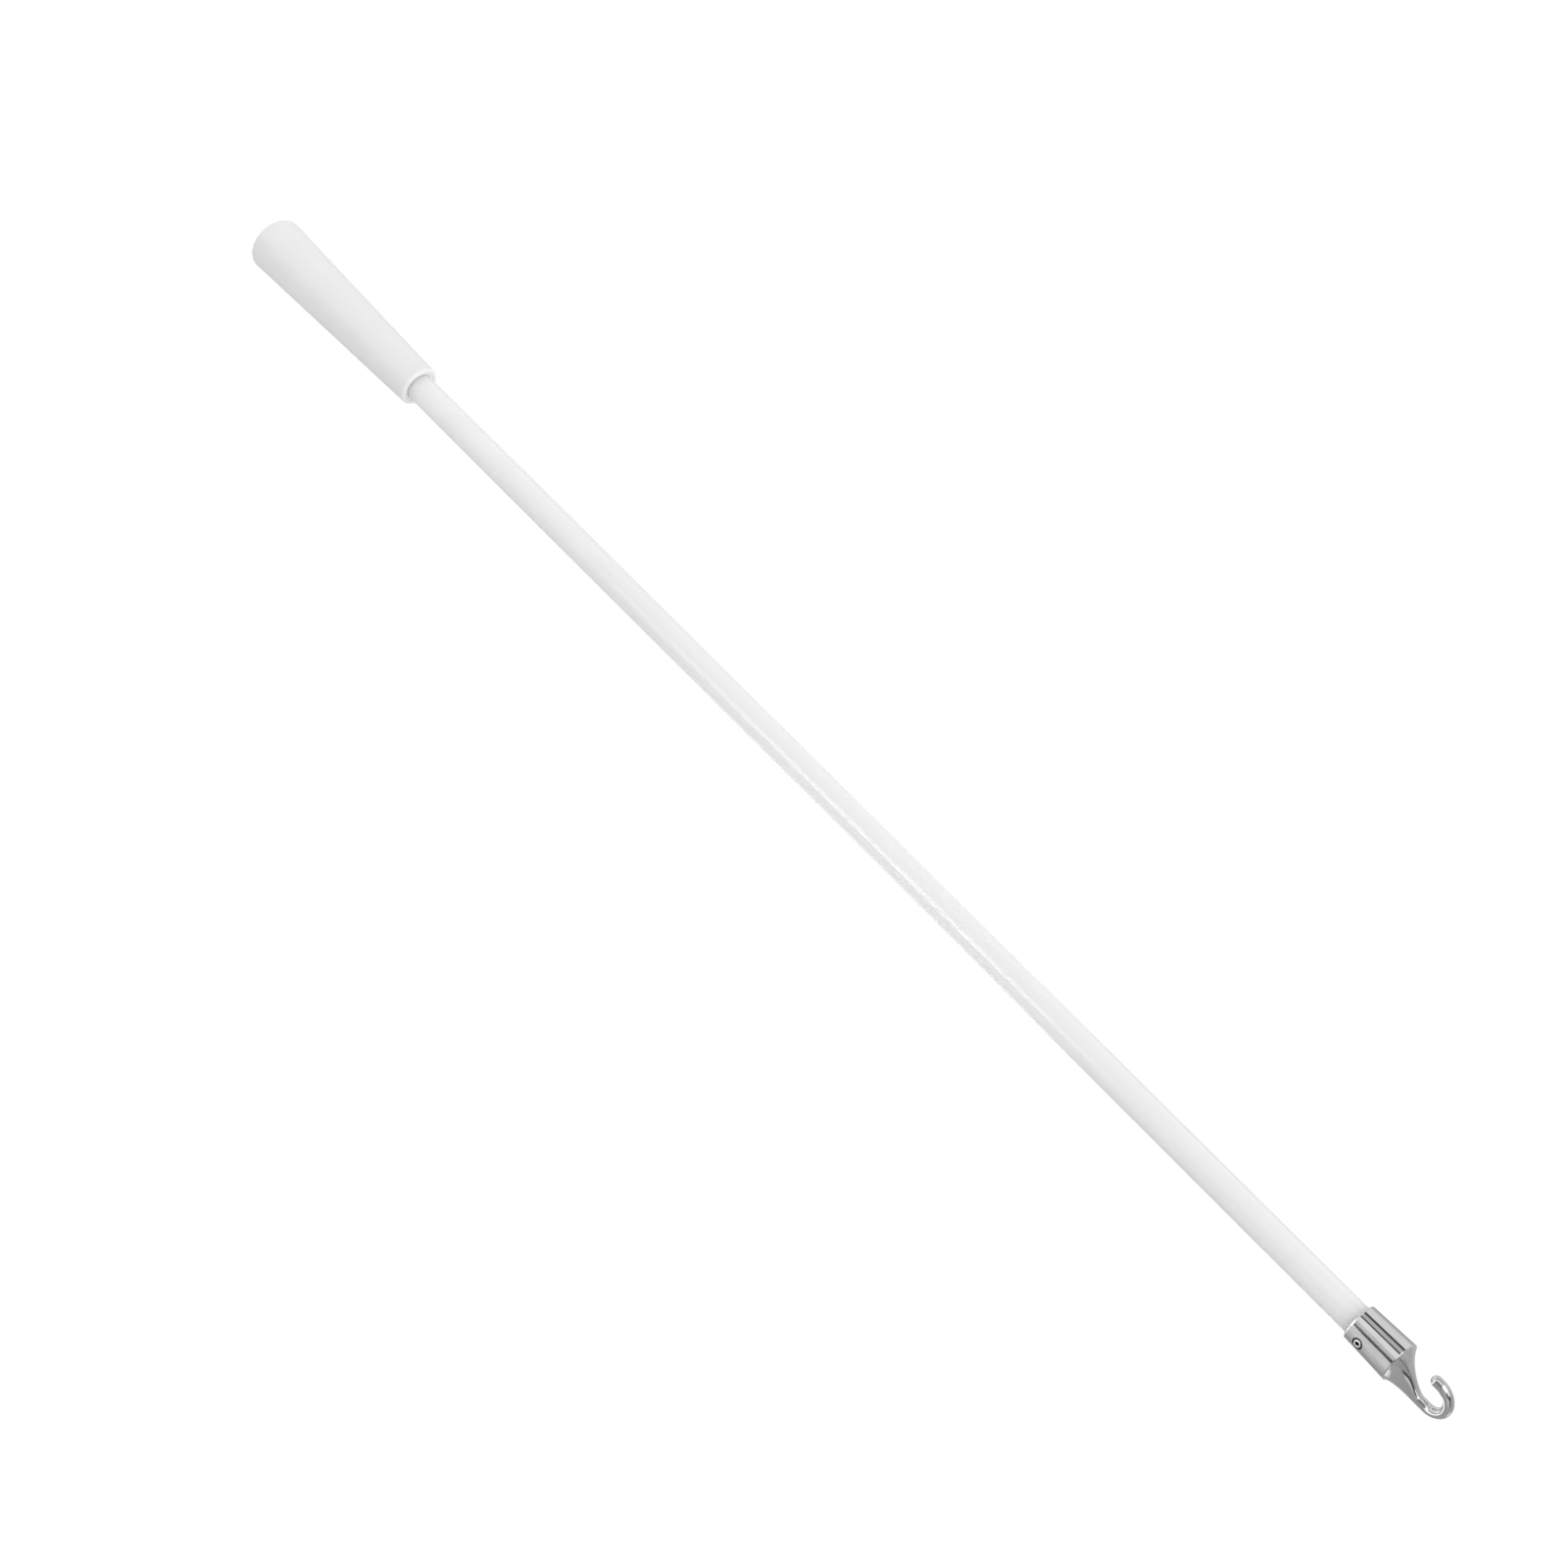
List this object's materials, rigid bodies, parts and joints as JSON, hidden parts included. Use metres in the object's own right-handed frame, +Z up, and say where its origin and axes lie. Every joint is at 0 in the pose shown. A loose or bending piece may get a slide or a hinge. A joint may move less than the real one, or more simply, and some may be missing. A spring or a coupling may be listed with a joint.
{
  "type": "curtain wand",
  "caption": "Slim hand wand for drawing a curtain or blind: a round rod with a tapered grip at its foot and a cast, pinned hook ferrule at its head.",
  "frame": {"origin": "the seat of the hook: the highest point inside its crown, on the rod's axis, where the carrier's eye bears", "axes": "+Z up along the rod as the wand hangs; the hook lies in the XZ plane, its leg towards +X and its tip towards -X; +Y completes the right-handed frame, and the rivet's hollow end faces -Y"},
  "size_m": [0.015, 0.015, 0.4318],
  "materials": {
    "rod_plastic": "satin",
    "grip_plastic": "satin",
    "plated_casting": "polished",
    "plated_rivet": "polished"
  },
  "bodies": {
    "root": {"rod": "rod_plastic", "grip": "grip_plastic", "hook_ferrule": "plated_casting", "rivet": "plated_rivet"}
  },
  "joints": []
}
